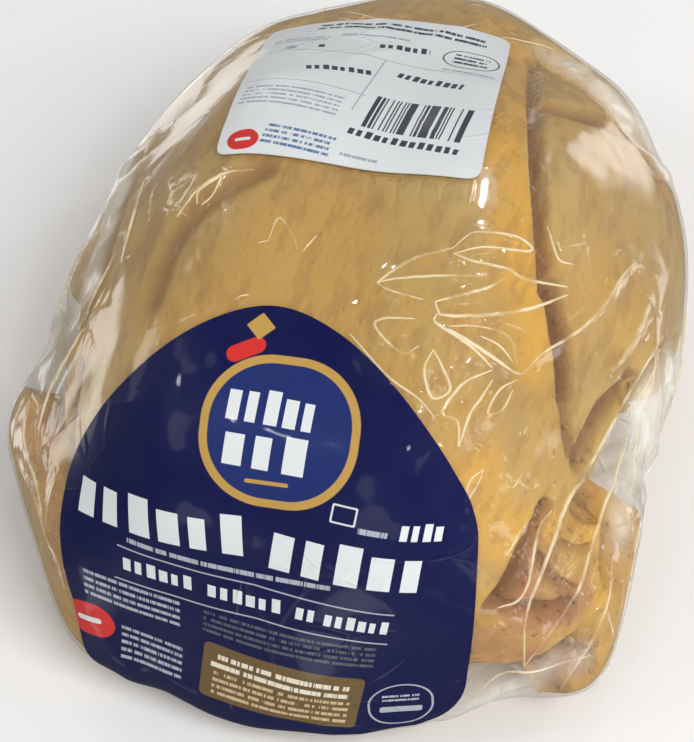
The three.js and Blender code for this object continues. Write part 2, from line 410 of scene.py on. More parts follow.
def view_axes():
    """The camera's right, up and back directions."""
    azimuth, elevation, roll = VIEW_AZIMUTH, VIEW_ELEVATION, VIEW_ROLL
    back = Vector((
        math.sin(azimuth) * math.cos(elevation),
        -math.cos(azimuth) * math.cos(elevation),
        math.sin(elevation),
    ))
    level = Vector((math.cos(azimuth), math.sin(azimuth), 0.0))
    up = back.cross(level)
    right = level * math.cos(roll) + up * math.sin(roll)
    return right, back.cross(right), back


def sight(pixel):
    """The camera's place and the direction of one of the photo's pixels."""
    right, up, back = view_axes()
    across = pixel[0] - PHOTO_WIDTH / 2 - OFF_CENTRE_PX[0]
    down = pixel[1] - PHOTO_HEIGHT / 2 - OFF_CENTRE_PX[1]
    direction = right * across - up * down - back * FOCAL_PX
    return VIEW_TARGET + back * VIEW_DISTANCE, direction.normalized()


def spread_pixels(points, spacing):
    """Evenly spread points along a soft curve through the given pixels."""
    knots = [Vector(point) for point in points]
    knots = [2 * knots[0] - knots[1], *knots, 2 * knots[-1] - knots[-2]]
    found = []
    for a, b, c, d in zip(knots, knots[1:], knots[2:], knots[3:]):
        steps = max(1, round((c - b).length / spacing))
        for i in range(steps):
            t = i / steps
            found.append(
                0.5 * (2 * b + (c - a) * t + (2 * a - 5 * b + 4 * c - d) * t * t
                       + (3 * b - a - 3 * c + d) * t ** 3)
            )
    found.append(knots[-2])
    return found


def seen_on(tree, pixels, spacing):
    """Where a curve through the photo's pixels meets a mesh, as (point, normal)."""
    hits = [tree.ray_cast(*sight(pixel)) for pixel in spread_pixels(pixels, spacing)]
    return [(point, normal) for point, normal, _, _ in hits if point is not None]


# The film's surface as seen from CORE


class Surface:
    """Where a closed skin lies in each direction from CORE."""

    def __init__(self, piece):
        self.tree = tree_of(piece)

    def point(self, direction, lift=0.0):
        hit = self.tree.ray_cast(CORE, direction)[0]
        return hit + direction * lift

    def normal(self, direction, spread=0.06):
        side = Vector((1.0, 0.0, 0.0)).cross(direction).normalized()
        other = direction.cross(side)
        corners = []
        for i in range(3):
            angle = i / 3 * math.tau
            corner = direction + (side * math.cos(angle) + other * math.sin(angle)) * spread
            corners.append(self.point(corner.normalized()))
        return (corners[1] - corners[0]).cross(corners[2] - corners[0]).normalized()

    def walk(self, start, heading, length, stages):
        """Directions reached over the surface after each of a number of equal stages."""
        step = length / stages
        course = heading.copy()
        direction = start.copy()
        reached = []
        for _ in range(stages):
            direction = (self.point(direction) + course * step - CORE).normalized()
            across = self.normal(direction)
            course = (course - across * course.dot(across)).normalized()
            reached.append(direction)
        return reached


# Materials


class Wiring:
    """Adds nodes to a tree. An input is a number, a vector, a colour or another node's output."""

    def __init__(self, tree):
        self.tree = tree

    def node(self, kind, inputs=None, **settings):
        new = self.tree.nodes.new(kind)
        for key, value in settings.items():
            setattr(new, key, value)
        for key, value in (inputs or {}).items():
            socket = new.inputs[key]
            if isinstance(value, bpy.types.NodeSocket):
                self.tree.links.new(value, socket)
            else:
                socket.default_value = (*value, 1.0) if socket.type == "RGBA" else value
        return new

    def group(self, group, inputs):
        return self.node("ShaderNodeGroup", inputs, node_tree=group).outputs

    def math(self, operation, *values, clamp=False):
        inputs = dict(enumerate(values))
        return self.node("ShaderNodeMath", inputs, operation=operation, use_clamp=clamp).outputs[0]

    def vector(self, operation, *values, output=0):
        inputs = dict(enumerate(values))
        return self.node("ShaderNodeVectorMath", inputs, operation=operation).outputs[output]

    def blend(self, factor, first, second):
        inputs = {0: factor, 6: first, 7: second}
        return self.node("ShaderNodeMix", inputs, data_type="RGBA").outputs[2]

    def mix_shaders(self, factor, first, second):
        inputs = {0: factor, 1: first, 2: second}
        return self.node("ShaderNodeMixShader", inputs).outputs[0]

    def ramp(self, value, low, high, to_low=0.0, to_high=1.0):
        inputs = {"Value": value, "From Min": low, "From Max": high,
                  "To Min": to_low, "To Max": to_high}
        new = self.node("ShaderNodeMapRange", inputs, interpolation_type="SMOOTHSTEP")
        return new.outputs[0]

    def noise(self, place, scale, detail=2.0, roughness=0.5):
        inputs = {"Vector": place, "Scale": scale, "Detail": detail, "Roughness": roughness}
        return self.node("ShaderNodeTexNoise", inputs).outputs[0]

    def attribute(self, name):
        return self.node("ShaderNodeAttribute", attribute_name=name).outputs["Fac"]

    def object_place(self):
        return self.node("ShaderNodeTexCoord").outputs["Object"]


def new_group(name, inputs, outputs):
    """A shader node group with the given sockets, as (name, kind, default)."""
    group = bpy.data.node_groups.new(name, "ShaderNodeTree")
    for label, kind, default in inputs:
        socket = group.interface.new_socket(label, in_out="INPUT", socket_type=f"NodeSocket{kind}")
        if default is not None:
            socket.default_value = default
    for label, kind in outputs:
        group.interface.new_socket(label, in_out="OUTPUT", socket_type=f"NodeSocket{kind}")
    wiring = Wiring(group)
    return group, wiring, wiring.node("NodeGroupInput").outputs


def film_wrinkle_group():
    """Height of the fine wrinkles of thin film, with a few sharp folds."""
    name = "Film wrinkles"
    if name in bpy.data.node_groups:
        return bpy.data.node_groups[name]
    group, wiring, given = new_group(
        name,
        [("Place", "Vector", None), ("Scale", "Float", 1.0)],
        [("Height", "Float")],
    )
    place = wiring.node(
        "ShaderNodeVectorMath", {0: given["Place"], "Scale": given["Scale"]}, operation="SCALE",
    ).outputs[0]
    warp = wiring.node(
        "ShaderNodeTexNoise", {"Vector": place, "Scale": 30.0, "Detail": 0.0},
    ).outputs["Color"]
    bent = wiring.vector("MULTIPLY_ADD", warp, (0.02, 0.02, 0.02), place)
    broad = wiring.noise(bent, 38.0, 2.0)
    facets = wiring.node(
        "ShaderNodeTexVoronoi", {"Vector": bent, "Scale": 62.0}, feature="DISTANCE_TO_EDGE",
    ).outputs["Distance"]
    folds = wiring.ramp(facets, 0.0, 0.055, 1.0, 0.0)
    patchy = wiring.ramp(wiring.noise(place, 22.0, 0.0), 0.5, 0.62)
    folds = wiring.math("MULTIPLY", folds, patchy)
    height = wiring.math("MULTIPLY_ADD", folds, 0.22, wiring.math("MULTIPLY", broad, 0.9))
    wiring.node("NodeGroupOutput", {"Height": height})
    return group


def print_box_group():
    """A mask of a box, bar or disc printed on a label, placed in millimetres."""
    name = "Print box"
    if name in bpy.data.node_groups:
        return bpy.data.node_groups[name]
    group, wiring, given = new_group(
        name,
        [("Place", "Vector", None), ("Middle", "Vector", None), ("Half Size", "Vector", None),
         ("Corner", "Float", 0.0), ("Turn", "Float", 0.0)],
        [("Mask", "Float"), ("Own Place", "Vector")],
    )
    offset = wiring.vector("SUBTRACT", given["Place"], given["Middle"])
    backwards = wiring.math("MULTIPLY", given["Turn"], -1.0)
    own = wiring.node(
        "ShaderNodeVectorRotate", {"Vector": offset, "Angle": backwards}, rotation_type="Z_AXIS",
    ).outputs[0]
    corner = wiring.node(
        "ShaderNodeCombineXYZ", {0: given["Corner"], 1: given["Corner"]},
    ).outputs[0]
    past = wiring.vector("SUBTRACT", wiring.vector("ABSOLUTE", own), given["Half Size"])
    past = wiring.vector("ADD", past, corner)
    sides = wiring.node("ShaderNodeSeparateXYZ", {0: past}).outputs
    flat = wiring.node("ShaderNodeCombineXYZ", {0: sides[0], 1: sides[1]}).outputs[0]
    outside = wiring.vector("MAXIMUM", flat, (0.0, 0.0, 0.0))
    distance = wiring.vector("LENGTH", outside, output="Value")
    inside = wiring.math("MINIMUM", wiring.math("MAXIMUM", sides[0], sides[1]), 0.0)
    distance = wiring.math("ADD", distance, inside)
    distance = wiring.math("SUBTRACT", distance, given["Corner"])
    mask = wiring.ramp(distance, -0.12, 0.12, 1.0, 0.0)
    wiring.node("NodeGroupOutput", {"Mask": mask, "Own Place": own})
    return group


def new_material(name):
    material = bpy.data.materials.new(name)
    material.use_nodes = True
    material.node_tree.nodes.clear()
    return material, Wiring(material.node_tree)


def finish_material(wiring, shader):
    wiring.node("ShaderNodeOutputMaterial", {"Surface": shader})


def skin_material(look):
    """Moist, mottled skin with feather follicles, yellow fat and thin dark flesh, with painted
    shade in the folds and small puckers.
    """
    material, wiring = new_material("Raw skin")
    place = wiring.object_place()
    clouds = wiring.ramp(wiring.noise(place, 26.0, 4.0), 0.42, 0.62)
    spots = wiring.ramp(wiring.noise(place, 95.0, 3.0), 0.5, 0.68)
    colour = wiring.blend(clouds, look.skin, look.pale)
    warm = wiring.ramp(wiring.noise(place, 14.0, 2.0), 0.46, 0.7, 0.0, 0.45)
    colour = wiring.blend(warm, colour, look.fat)
    thin = wiring.ramp(wiring.noise(place, 48.0, 4.0, 0.6), 0.5, 0.68, 0.0, 0.5)
    colour = wiring.blend(thin, colour, look.thin)
    dull = wiring.math("MULTIPLY", wiring.attribute("dull"), 0.75)
    colour = wiring.blend(dull, colour, look.dull)
    uneven = wiring.math("MULTIPLY_ADD", spots, -0.3, 1.0)
    fat = wiring.math("MULTIPLY", wiring.attribute("fat"), uneven)
    colour = wiring.blend(fat, colour, look.fat)
    blotch = wiring.math("MULTIPLY_ADD", spots, 0.4, 0.7)
    flesh = wiring.math("MULTIPLY", wiring.attribute("flesh"), blotch)
    colour = wiring.blend(flesh, colour, look.flesh)
    # Painted shade in the skin's folds and shut-in spots
    colour = wiring.blend(wiring.attribute("painted_shade"), colour, look.painted_shade)
    dots = wiring.node(
        "ShaderNodeTexVoronoi", {"Vector": place, "Scale": 300.0, "Randomness": 0.6},
    ).outputs["Distance"]
    follicles = wiring.ramp(dots, 0.06, 0.32, 1.0, 0.0)
    pimpled = wiring.math("MULTIPLY_ADD", wiring.attribute("pimples"), 0.65, 0.35)
    follicles = wiring.math("MULTIPLY", follicles, pimpled)
    along = wiring.vector("MULTIPLY", place, (1.0, 0.3, 1.0))
    pucker = wiring.noise(along, 240.0, 3.0, 0.6)
    height = wiring.math("MULTIPLY_ADD", pucker, 1.3, follicles)
    colour = wiring.blend(wiring.math("MULTIPLY", follicles, 0.17), colour, look.flesh)
    # Painted shade along the low lines of the fine puckers
    lines = wiring.ramp(pucker, 0.38, 0.52, 0.28, 0.0)
    colour = wiring.blend(lines, colour, look.painted_shade)
    bump = wiring.node("ShaderNodeBump", {"Height": height, "Distance": 0.0006, "Strength": 0.9})
    shine = wiring.ramp(wiring.noise(place, 60.0, 2.0), 0.35, 0.7, 0.28, 0.5)
    skin = wiring.node("ShaderNodeBsdfPrincipled", {
        "Base Color": colour,
        "Roughness": shine,
        "Normal": bump.outputs[0],
    })
    finish_material(wiring, skin.outputs[0])
    return material


def film_material(look):
    """Clear film: it mirrors by angle, and scatters a little more where it hangs loose."""
    material, wiring = new_material("Clear film")
    place = wiring.object_place()
    wrinkles = wiring.group(film_wrinkle_group(), {"Place": place, "Scale": 1.0})
    busy = wiring.attribute("busy")
    loose = wiring.attribute("loose")
    ruffle = wiring.math("MULTIPLY_ADD", wiring.math("MAXIMUM", busy, loose), 0.95, 0.25)
    bump = wiring.node("ShaderNodeBump", {
        "Height": wiring.math("MULTIPLY", wrinkles["Height"], ruffle),
        "Distance": 0.0018,
        "Strength": 0.7,
    }).outputs[0]
    hanging = wiring.vector("MULTIPLY", place, (1.0, 1.0, 0.3))
    streaks = wiring.ramp(wiring.noise(hanging, 90.0, 3.0), 0.36, 0.66, 0.6, 1.2)
    loose_haze = wiring.math("MULTIPLY", wiring.math("MULTIPLY", loose, look.loose_haze), streaks)
    haze = wiring.math("ADD", loose_haze, look.haze)
    facing = wiring.node("ShaderNodeLayerWeight", {"Blend": 0.5}).outputs["Facing"]
    edge = wiring.math("MULTIPLY", wiring.math("POWER", facing, 4.0), 0.22)
    haze = wiring.math("ADD", haze, edge, clamp=True)
    clear = wiring.node("ShaderNodeBsdfTransparent", {"Color": (0.985, 0.985, 0.98)})
    mirror = wiring.node(
        "ShaderNodeBsdfGlossy", {"Color": (1.0, 1.0, 1.0), "Roughness": 0.09, "Normal": bump},
    )
    fresnel = wiring.node("ShaderNodeFresnel", {"IOR": 1.55, "Normal": bump}).outputs[0]
    fresnel = wiring.math("MINIMUM", fresnel, 0.17)
    sheer = wiring.mix_shaders(fresnel, clear.outputs[0], mirror.outputs[0])
    milky = wiring.node("ShaderNodeBsdfPrincipled", {
        "Base Color": look.tint,
        "Roughness": 0.3,
        "Normal": bump,
    })
    finish_material(wiring, wiring.mix_shaders(haze, sheer, milky.outputs[0]))
    return material


def crest_material(look):
    """The doubled film along a sharp fold: milky, and bright where it mirrors a lamp."""
    material, wiring = new_material("Film fold")
    place = wiring.object_place()
    uneven = wiring.ramp(wiring.noise(place, 110.0, 3.0), 0.38, 0.62, 0.1, 0.6)
    clear = wiring.node("ShaderNodeBsdfTransparent", {"Color": (1.0, 0.99, 0.96)})
    milky = wiring.node("ShaderNodeBsdfPrincipled", {
        "Base Color": look.fold,
        "Roughness": 0.16,
        "Specular IOR Level": 0.9,
    })
    finish_material(wiring, wiring.mix_shaders(uneven, clear.outputs[0], milky.outputs[0]))
    return material


# Generic print of the labels, in millimetres from a label's middle and in degrees. A block is
# (middle, half size, corner, turn, colour), a row of upright blocks is (middle, half size, turn,
# colour, pitch), and small print is (middle, half size, turn, colour, line pitch, share of the
# line that is inked, scale of its gaps). The labels' UV squares are LABEL_SPAN wide.
LABEL_SPAN = 140.0
FRONT_BLOCKS = (
    ((4.7, 32.0), (18.1, 17.0), 15.5, 0, "gold"),
    ((4.7, 32.0), (16.2, 15.1), 13.8, 0, "mid_blue"),
    ((3.0, 20.6), (5.0, 0.45), 0.4, 0, "gold"),
    ((-5.5, 49.5), (4.6, 1.9), 1.9, 28, "red"),
    ((-3.0, 55.2), (2.3, 2.3), 0.3, 45, "gold"),
    ((21.0, 15.5), (2.9, 2.3), 0.4, -8, "white"),
    ((21.0, 15.5), (2.5, 1.9), 0.3, -8, "blue"),
    ((-17.0, -5.5), (17.1, 0.22), 0.2, -3.4, "grey"),
    ((16.1, -9.6), (16.4, 0.22), 0.2, -11, "grey"),
    ((-17.8, -16.1), (17.9, 0.22), 0.2, -3.8, "grey"),
    ((15.1, -20.2), (15.4, 0.22), 0.2, -11, "grey"),
    ((3.5, -42.8), (19.6, 10.6), 1.8, -11, "bronze"),
    ((-45.0, -33.0), (7.0, 5.4), 5.4, 8, "red"),
    ((-45.0, -33.0), (3.6, 0.8), 0.8, 8, "white"),
    ((32.5, -49.0), (8.0, 9.0), 8.0, 0, "grey"),
    ((32.5, -49.0), (7.5, 8.5), 7.5, 0, "blue"),
    ((32.5, -51.0), (5.2, 1.2), 0.6, -6, "grey"),
)
FRONT_LETTERS = (
    ((3.0, 37.0), (10.6, 3.8), -3, "white", 4.3),
    ((2.6, 27.4), (10.0, 4.1), -3, "white", 6.9),
    ((-22.9, 6.1), (23.2, 5.3), 1.7, "white", 7.8),
    ((22.9, 2.2), (18.4, 5.8), -8.9, "white", 7.5),
    ((-23.8, -9.8), (9.0, 2.2), -3.5, "white", 3.1),
    ((-2.2, -11.6), (9.2, 2.2), -5, "white", 3.1),
    ((12.2, -13.6), (2.6, 2.2), -10, "white", 2.7),
    ((23.6, -16.0), (7.6, 2.2), -11, "white", 2.6),
    ((38.7, 11.0), (5.0, 2.3), -9, "white", 2.7),
)
FRONT_TEXTS = (
    ((-6.6, -3.0), (24.6, 0.9), -2.9, "grey", 2.4, 0.6, 0.9),
    ((27.6, 11.8), (3.3, 1.0), -9, "grey", 2.4, 0.6, 1.2),
    ((-32.0, -20.5), (12.6, 4.6), -5, "grey", 2.5, 0.45, 1.1),
    ((-29.0, -38.6), (8.0, 6.4), -8, "grey", 2.7, 0.45, 1.1),
    ((6.9, -24.6), (20.5, 3.9), -9, "faint", 2.1, 0.5, 1.0),
    ((3.9, -37.6), (16.8, 3.2), -11, "cream", 3.3, 0.55, 0.6),
    ((3.0, -46.6), (16.8, 4.8), -11, "pale_gold", 2.6, 0.5, 0.8),
    ((32.5, -45.6), (4.6, 1.7), -6, "grey", 1.8, 0.5, 1.2),
)
FRONT_SHADES = {
    "mid_blue": (0.012, 0.026, 0.14),
    "bronze": (0.16, 0.10, 0.035),
    "grey": (0.42, 0.44, 0.50),
    "faint": (0.10, 0.10, 0.12),
    "cream": (0.80, 0.72, 0.58),
    "pale_gold": (0.62, 0.47, 0.26),
}
CARD_BLOCKS = (
    ((0.5, 12.0), (30.5, 0.16), 0.1, -6, "line"),
    ((-15.0, -7.6), (15.5, 0.16), 0.1, -6, "line"),
    ((0.2, -2.8), (0.16, 14.6), 0.1, -8, "line"),
    ((-25.3, -33.6), (4.0, 3.6), 3.6, 8, "red"),
    ((-25.3, -33.6), (2.0, 0.5), 0.4, 8, "white"),
    ((23.0, 19.0), (7.2, 5.2), 5.2, -6, "ink"),
    ((23.0, 19.0), (6.8, 4.8), 4.8, -6, "white"),
    ((-22.5, 17.0), (1.5, 1.5), 1.5, 0, "line"),
)
CARD_LETTERS = (
    ((6.0, 20.4), (6.4, 1.6), 3, "ink", 2.1),
    ((-14.6, 17.6), (1.0, 1.4), 0, "ink", 2.4),
    ((-7.8, 2.2), (8.4, 1.4), 9, "ink", 2.1),
    ((14.6, 3.4), (8.4, 1.5), -13, "ink", 2.0),
    ((12.5, -27.6), (13.8, 1.4), -9, "ink", 2.15),
)
CARD_TEXTS = (
    ((23.0, 19.0), (4.4, 2.7), -6, "ink", 2.3, 0.5, 0.9),
    ((4.0, 33.0), (22.0, 2.4), -4, "ink", 2.8, 0.5, 0.8),
    ((-21.0, 24.5), (7.0, 1.6), -4, "line", 1.9, 0.5, 1.2),
    ((-2.0, 26.4), (9.0, 1.0), -2, "line", 1.9, 0.5, 1.2),
    ((23.0, 11.4), (6.5, 0.9), -8, "line", 1.9, 0.5, 1.2),
    ((-17.0, -14.6), (12.5, 4.8), -7, "line", 1.9, 0.45, 1.2),
    ((-12.0, -31.6), (8.5, 3.9), -7, "blue", 2.0, 0.5, 1.0),
    ((3.0, -35.0), (4.5, 0.6), -5, "line", 2.0, 0.5, 1.0),
)
CARD_SHADES = {"line": (0.36, 0.38, 0.42), "blue": (0.10, 0.20, 0.34)}
STRIPES_MIDDLE = (14.1, -17.0)
STRIPES_HALF_SIZE = (12.5, 7.6)
STRIPES_TURN = -7.0
STRIPES_PER_MM = 2.7


class Press:
    """Prints blocks of colour on a label's ground, over its UV map in millimetres."""

    def __init__(self, wiring, ground, colours):
        self.wiring = wiring
        self.colour = ground
        self.colours = colours
        uv = wiring.node("ShaderNodeUVMap", uv_map="print").outputs[0]
        centred = wiring.vector("SUBTRACT", uv, (0.5, 0.5, 0.0))
        self.place = wiring.vector("MULTIPLY", centred, (LABEL_SPAN, LABEL_SPAN, 0.0))

    def box(self, middle, half_size, corner, turn):
        return self.wiring.group(print_box_group(), {
            "Place": self.place,
            "Middle": (*middle, 0.0),
            "Half Size": (*half_size, 0.0),
            "Corner": corner,
            "Turn": math.radians(turn),
        })

    def ink(self, mask, colour):
        self.colour = self.wiring.blend(mask, self.colour, self.colours[colour])

    def block(self, middle, half_size, corner, turn, colour):
        self.ink(self.box(middle, half_size, corner, turn)["Mask"], colour)

    def field(self, middle, half_size, turn):
        """The mask of a plain box, and the places across and up it."""
        box = self.box(middle, half_size, 0.0, turn)
        own = self.wiring.node("ShaderNodeSeparateXYZ", {0: box["Own Place"]}).outputs
        return box["Mask"], own[0], own[1]

    def text(self, middle, half_size, turn, colour, pitch, share, gaps):
        """Lines of broken strokes that stand for small print."""
        wiring = self.wiring
        mask, across, up = self.field(middle, half_size, turn)
        rows = wiring.math("DIVIDE", wiring.math("ADD", up, half_size[1]), pitch)
        stroke = wiring.math("LESS_THAN", wiring.math("FRACT", rows), share)
        row = wiring.math("MULTIPLY", wiring.math("FLOOR", rows), 7.3)
        along = wiring.node("ShaderNodeCombineXYZ", {0: across, 1: row}).outputs[0]
        for finer in (1.0, 3.4):
            drawn = wiring.math("GREATER_THAN", wiring.noise(along, gaps * finer, 1.0), 0.40)
            stroke = wiring.math("MULTIPLY", stroke, drawn)
        self.ink(wiring.math("MULTIPLY", stroke, mask), colour)

    def letters(self, middle, half_size, turn, colour, pitch):
        """A row of plain upright blocks of uneven width and height."""
        wiring = self.wiring
        mask, across, up = self.field(middle, half_size, turn)
        columns = wiring.math("DIVIDE", wiring.math("ADD", across, half_size[0]), pitch)
        drawn = wiring.node(
            "ShaderNodeTexWhiteNoise", {"W": wiring.math("FLOOR", columns)}, noise_dimensions="1D",
        ).outputs["Value"]
        width = wiring.math("MULTIPLY_ADD", drawn, 0.22, 0.52)
        block = wiring.math("LESS_THAN", wiring.math("FRACT", columns), width)
        drawn_again = wiring.math("FRACT", wiring.math("MULTIPLY", drawn, 9.0))
        top = wiring.math("MULTIPLY_ADD", drawn_again, 0.5 * half_size[1], 0.6 * half_size[1])
        block = wiring.math("MULTIPLY", block, wiring.math("LESS_THAN", up, top))
        self.ink(wiring.math("MULTIPLY", block, mask), colour)

    def stripes(self, middle, half_size, turn, colour):
        """Upright stripes of uneven width."""
        wiring = self.wiring
        mask, across, _ = self.field(middle, half_size, turn)
        column = wiring.math("FLOOR", wiring.math("MULTIPLY", across, STRIPES_PER_MM))
        drawn = wiring.node("ShaderNodeTexWhiteNoise", {"W": column}, noise_dimensions="1D")
        bar = wiring.math("GREATER_THAN", drawn.outputs["Value"], 0.46)
        self.ink(wiring.math("MULTIPLY", bar, mask), colour)

    def print_all(self, blocks, texts, letters):
        for print_one, rows in ((self.block, blocks), (self.text, texts), (self.letters, letters)):
            for row in rows:
                print_one(*row)


def label_material(name, press_of, roughness, coat):
    """A printed label with the film's wrinkles in its gloss."""
    material, wiring = new_material(name)
    colour = press_of(wiring)
    place = wiring.object_place()
    wrinkles = wiring.group(film_wrinkle_group(), {"Place": place, "Scale": 1.15})
    bump = wiring.node(
        "ShaderNodeBump", {"Height": wrinkles["Height"], "Distance": 0.0011, "Strength": 0.55},
    ).outputs[0]
    worn = wiring.ramp(wiring.noise(place, 80.0, 3.0), 0.4, 0.7, roughness, roughness * 1.6)
    label = wiring.node("ShaderNodeBsdfPrincipled", {
        "Base Color": colour,
        "Roughness": worn,
        "Normal": bump,
        "Specular IOR Level": 0.25,
        "Coat Weight": coat,
        "Coat Roughness": 0.06,
        "Coat Normal": bump,
    })
    finish_material(wiring, label.outputs[0])
    return material


def front_print(wiring):
    look = bpy.context.scene.label_settings
    colours = {
        "blue": look.blue, "gold": look.gold, "white": look.white, "red": look.red, **FRONT_SHADES,
    }
    press = Press(wiring, look.blue, colours)
    press.print_all(FRONT_BLOCKS, FRONT_TEXTS, FRONT_LETTERS)
    return press.colour


def card_print(wiring):
    look = bpy.context.scene.label_settings
    colours = {"ink": look.ink, "white": look.white, "red": look.red, **CARD_SHADES}
    press = Press(wiring, look.white, colours)
    press.print_all(CARD_BLOCKS, CARD_TEXTS, CARD_LETTERS)
    press.stripes(STRIPES_MIDDLE, STRIPES_HALF_SIZE, STRIPES_TURN, "ink")
    return press.colour


# The bird


def egg(middle, radii, yaw, pitch):
    bpy.ops.mesh.primitive_uv_sphere_add(
        segments=64, ring_count=40, radius=1.0, location=(Vector(middle) + ORIGIN) * MM,
        rotation=(pitch, 0.0, yaw), scale=Vector(radii) * MM,
    )
    piece = added("egg")
    apply_place(piece)
    return piece


def limb(start, start_radius, end, end_radius):
    """A cone with round ends."""
    ends = [(Vector(point) + ORIGIN) * MM for point in (start, end)]
    axis = ends[1] - ends[0]
    pieces = []
    for place, radius in zip(ends, (start_radius, end_radius)):
        bpy.ops.mesh.primitive_uv_sphere_add(
            segments=40, ring_count=24, radius=radius * MM, location=place,
        )
        pieces.append(added("joint"))
    slant = math.asin((start_radius - end_radius) * MM / axis.length)
    shift = [axis.normalized() * radius * MM * math.sin(slant)
             for radius in (start_radius, end_radius)]
    foot, top = ends[0] + shift[0], ends[1] + shift[1]
    bpy.ops.mesh.primitive_cone_add(
        vertices=40, radius1=start_radius * MM * math.cos(slant),
        radius2=end_radius * MM * math.cos(slant), depth=(top - foot).length,
        location=(foot + top) / 2, rotation=axis.to_track_quat("Z", "Y").to_euler(),
    )
    pieces.append(added("shaft"))
    for piece in pieces:
        apply_place(piece)
    return join(pieces, "limb")


def model_bird(look):
    deselect_all()
    pieces = [egg(*form) for form in EGGS] + [limb(*form) for form in LIMBS]
    bird = join(pieces, "bird")
    coarse = 1.0
    apply_modifier(bird, "REMESH", mode="VOXEL", voxel_size=look.voxel * coarse)
    apply_modifier(bird, "SMOOTH", factor=0.5, iterations=round(SKIN_SMOOTHING / coarse ** 2))
    co, normal = points_of(bird), normals_of(bird)
    lumps = noise_at(co, 28)
    ripple = noise_at(co, [60, 190, 60])
    wing = smoothstep(-30 * MM, -50 * MM, co[:, 1]) * smoothstep(48 * MM, 58 * MM, abs(co[:, 0]))
    co += normal * ((lumps + ripple * (0.25 + 1.1 * wing)) * MM)[:, None]
    move_points(bird, co)
    return bird


def tuck_in(bird, film, clearance):
    """Keeps the skin inside the film, and lets the film suck on to it where it is near."""
    surface = Surface(film)
    co = points_of(bird)
    for i, point in enumerate(co):
        direction = Vector(point) - CORE
        reach = direction.length
        direction.normalize()
        limit = (surface.point(direction) - CORE).length - clearance
        gap = max(limit - reach, 0.0)
        co[i] = CORE + direction * (limit - gap * smoothstep(*CLINGS, gap))
    co[:, 2] = np.maximum(co[:, 2], SKIN_FLOOR)
    move_points(bird, co)
    apply_modifier(bird, "SMOOTH", factor=0.5, iterations=2)
    smooth_shade(bird)


def carve(bird, grooves, floor=0.0):
    """Presses folds or pockets into the skin, and gives how deep they are at each vertex.

    The floor is the share of the half width over which a groove keeps its full depth.
    """
    tree = tree_of(bird)
    co = points_of(bird)
    inwards = np.array(CORE) - co
    inwards /= np.linalg.norm(inwards, axis=1)[:, None]
    depth = np.zeros(len(co))
    for deep, width, pixels in grooves:
        spots = [point for point, _ in seen_on(tree, pixels, 4.0)]
        near = distances(co, spots) / (width * MM)
        depth = np.maximum(depth, deep * smoothstep(1.0, floor, near))
    co += inwards * (depth * MM)[:, None]
    co[:, 2] = np.maximum(co[:, 2], SKIN_FLOOR)
    move_points(bird, co)
    return depth


def paint_bird(bird, grooves):
    """Marks the patches of fat, flesh and dull skin, the painted shade in folds and shut-in spots,
    and where follicles stand out.
    """
    co, normal = points_of(bird), normals_of(bird)
    tree = tree_of(bird)
    wobble = noise_at(co, 60) * 0.35
    shares = {}
    for name, radius, strength, pixels in SKIN_PATCHES:
        spots = [point for point, _ in seen_on(tree, pixels, 12.0)]
        near = distances(co, spots) / (radius * MM)
        share = smoothstep(1.25, 0.35, near + wobble) * strength
        shares[name] = np.maximum(shares.get(name, 0.0), share)
    wings = smoothstep(-28 * MM, -45 * MM, co[:, 1]) * smoothstep(50 * MM, 60 * MM, abs(co[:, 0]))
    shares["pimples"] = np.clip(wings + smoothstep(40 * MM, 90 * MM, co[:, 1]) * 0.4, 0, 1)
    for name, share in shares.items():
        paint(bird, name, share)
    # Painted shade: from how shut in each vertex is, and from how deep its fold is
    paint(bird, "painted_shade", np.maximum(shut_in_shade(bird, co, normal) * 0.5, np.clip(grooves / 4, 0, 1)))


def shut_in_shade(bird, co, normal):
    """The painted shade of each vertex, from how shut in it is by skin standing near in front of
    it.
    """
    tree = tree_of(bird)
    reach = 16 * MM
    shut = np.zeros(len(co))
    for i, (point, up) in enumerate(zip(co, normal)):
        start = Vector(point) + Vector(up) * 0.6 * MM
        side = Vector(up).orthogonal().normalized()
        other = Vector(up).cross(side)
        for k in range(4):
            angle = k / 4 * math.tau + 0.4
            lean = (side * math.cos(angle) + other * math.sin(angle)) * 0.95
            hit = tree.ray_cast(start, (Vector(up) + lean).normalized(), reach)
            if hit[0] is not None:
                shut[i] += 0.25 * (1 - hit[3] / reach)
    return np.clip(shut * 2.2, 0, 1)


# The film


def seen_creases(tree):
    """Creases that the photo shows, each as (height, points on the film)."""
    found = []
    for height, pixels in SEEN_CREASES:
        points = seen_on(tree, pixels, 3.0)
        if len(points) > 3:
            found.append((height, points))
    return found


def unseen_creases(surface, seed):
    """Creases on the sides that the photo doesn't show: stars of one to three short lines."""
    draw = random.Random(seed)
    found = []
    while len(found) < UNSEEN_CREASES:
        around = draw.uniform(-math.pi, math.pi)
        rise = draw.uniform(-0.35, 1.0)
        direction = Vector((math.cos(around), math.sin(around), rise)).normalized()
        if direction.dot(view_axes()[2]) > 0.12:
            continue
        for _ in range(draw.choice((1, 2, 3))):
            slope = draw.gauss(-1.1, 0.8)
            side = Vector((0, 0, 1)).cross(direction).normalized()
            heading = side * math.cos(slope) + direction.cross(side) * math.sin(slope)
            length = draw.uniform(10, 38) * MM
            stages = max(4, round(length / (1.2 * MM)))
            way = surface.walk(direction, heading, length, stages)
            height = draw.uniform(0.3, 0.8)
            points = [(surface.point(step), surface.normal(step)) for step in way]
            if all(point[0].z > 3 * MM for point in points):
                found.append((height, points))
    return found


def taper(i, count):
    return math.sin(math.pi * (i + 0.6) / (count + 0.2)) ** 0.6


